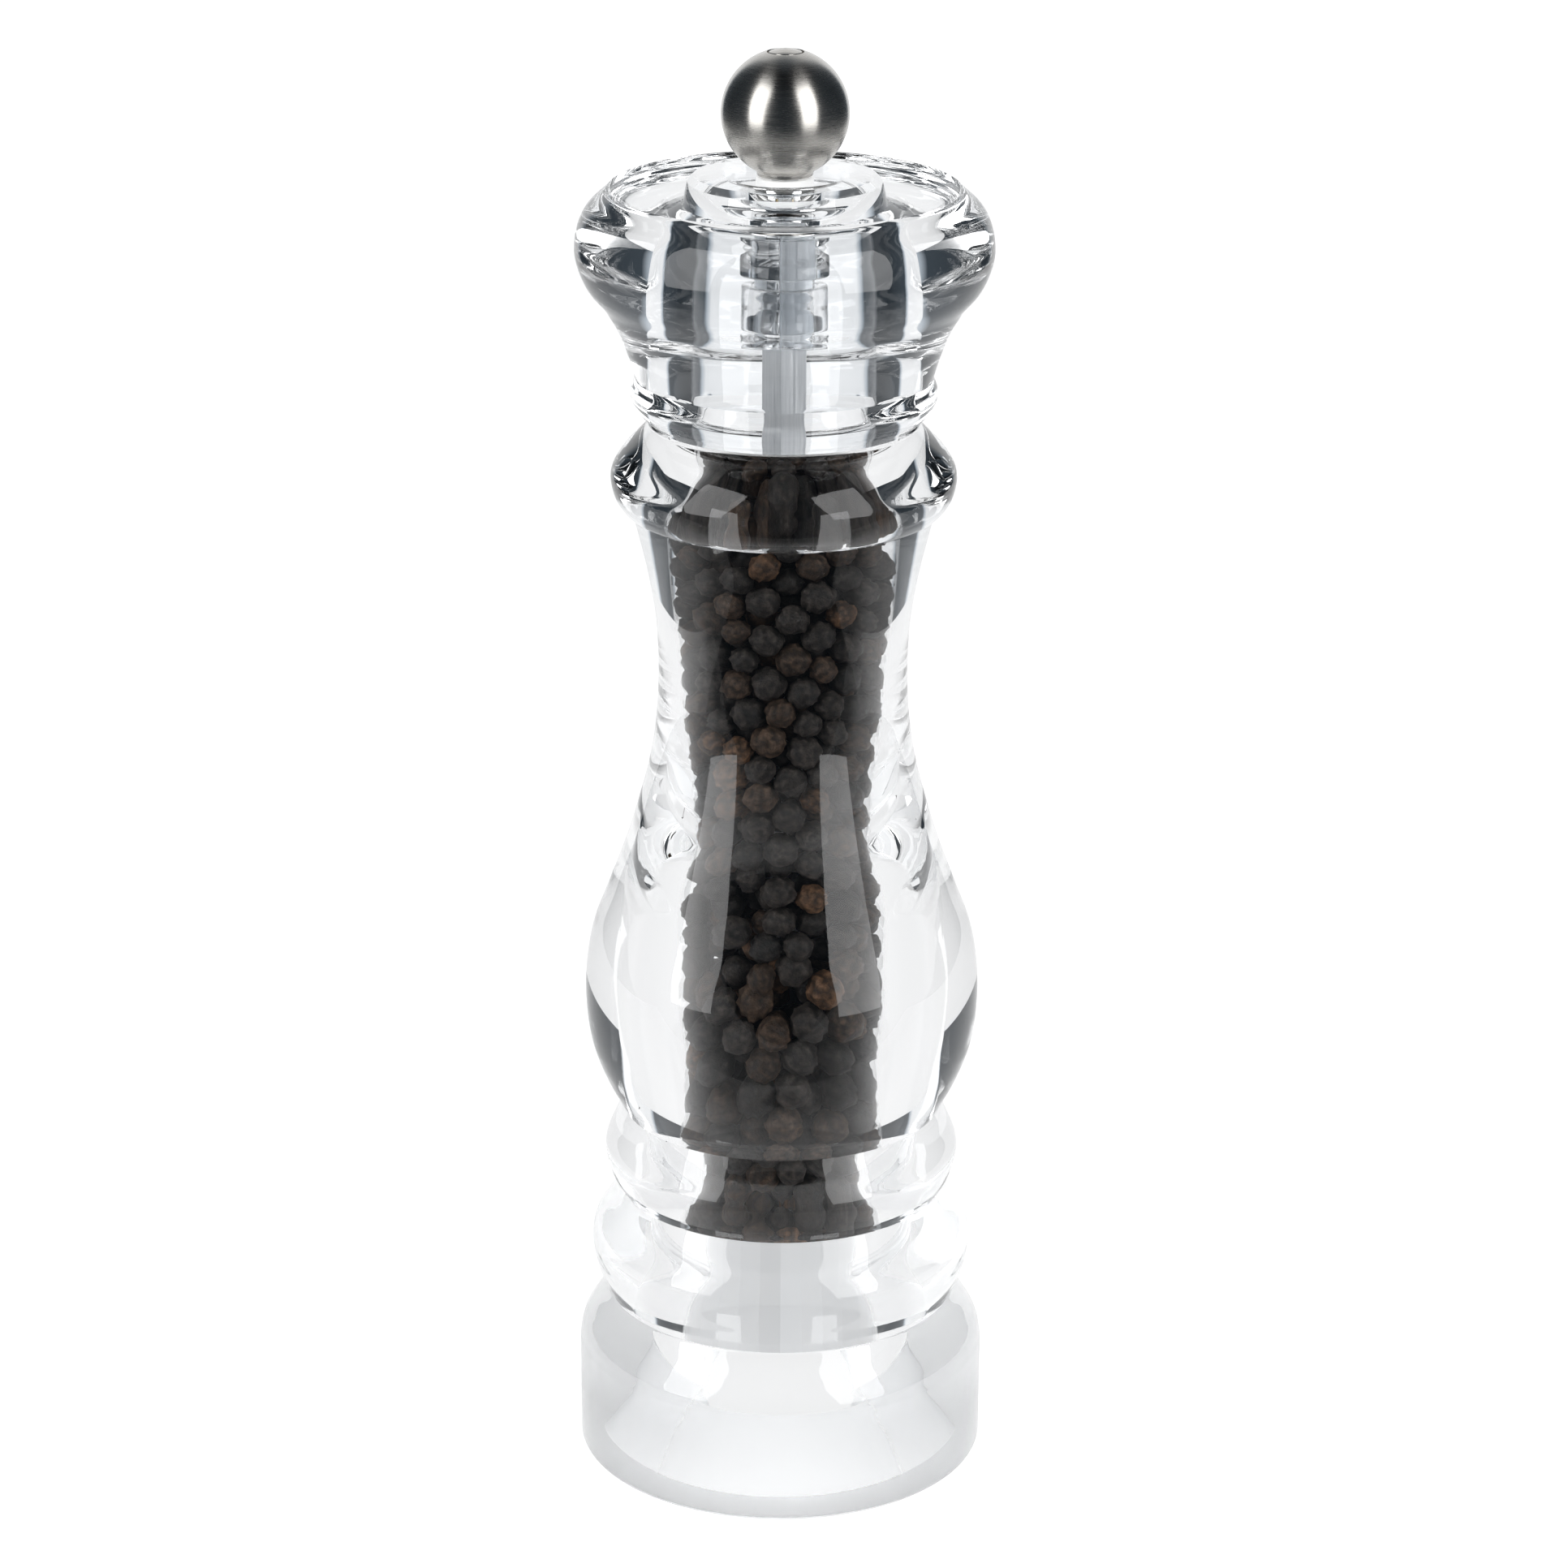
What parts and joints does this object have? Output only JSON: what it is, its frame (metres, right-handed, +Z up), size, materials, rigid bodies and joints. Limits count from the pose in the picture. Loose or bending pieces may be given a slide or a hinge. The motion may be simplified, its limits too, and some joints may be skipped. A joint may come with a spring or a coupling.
{
  "type": "pepper mill",
  "caption": "Clear turned pepper mill with a rotating lift-off head, a square spindle, a ceramic cone burr under a bridge and spring, and a steel ball knob that sets the grind.",
  "frame": {"origin": "centre of the foot, on the surface the mill stands on", "axes": "+Z up along the turning axis towards the knob; the bridge bar lies along X; -Y faces the front view"},
  "size_m": [0.0628, 0.0628, 0.22],
  "materials": {
    "body_acrylic": "clear polished acrylic",
    "head_acrylic": "clear polished acrylic",
    "housing_plastic": "white moulded plastic",
    "burr_ceramic": "white ceramic",
    "mechanism_steel": "bright steel",
    "spindle_aluminium": "drawn bar",
    "bush_nylon": "natural nylon",
    "drive_bush_clear": "translucent moulded plastic",
    "knob_steel": "turned and brushed",
    "insert_brass": "machined"
  },
  "bodies": {
    "body": {"body_shell": "body_acrylic", "burr_housing": "housing_plastic", "stator_ring": "burr_ceramic", "bridge": "mechanism_steel", "bridge_screw_left": "mechanism_steel", "bridge_screw_right": "mechanism_steel", "burr_spring": "mechanism_steel"},
    "spindle_bush": {"spindle_bush": "bush_nylon"},
    "spindle": {"spindle": "spindle_aluminium", "rotor_burr": "burr_ceramic", "thrust_washer": "mechanism_steel", "rotor_nut": "mechanism_steel"},
    "head": {"head_shell": "head_acrylic", "drive_bush": "drive_bush_clear", "bush_collar": "drive_bush_clear"},
    "knob_washer": {"knob_washer": "bush_nylon"},
    "knob": {"knob_ball": "knob_steel", "knob_thread_insert": "insert_brass", "knob_cap": "knob_steel"}
  },
  "joints": [
    {"name": "head_turn", "type": "hinge", "parent": "body", "child": "spindle_bush", "pos_m": [0, 0, 0.033], "axis": [0, 0, 1], "continuous": true},
    {"name": "spindle_travel", "type": "slide", "parent": "spindle_bush", "child": "spindle", "axis": [0, 0, 1], "range_m": [0, 0.00141], "deforming": ["burr_spring"]},
    {"name": "head_lift", "type": "slide", "parent": "spindle_bush", "child": "head", "axis": [0, 0, 1], "range_m": [0, 0.06]},
    {"name": "knob_lift", "type": "slide", "parent": "head", "child": "knob_washer", "axis": [0, 0, 1], "range_m": [0, 0.02]},
    {"name": "knob_turn", "type": "hinge", "parent": "knob_washer", "child": "knob", "pos_m": [0, 0, 0.2], "axis": [0, 0, 1], "range_deg": [-720, 0]}
  ],
  "couplings": [
    {"joint": "spindle_travel", "follows": "knob_turn", "m_per_rad": -0.00011141}
  ]
}
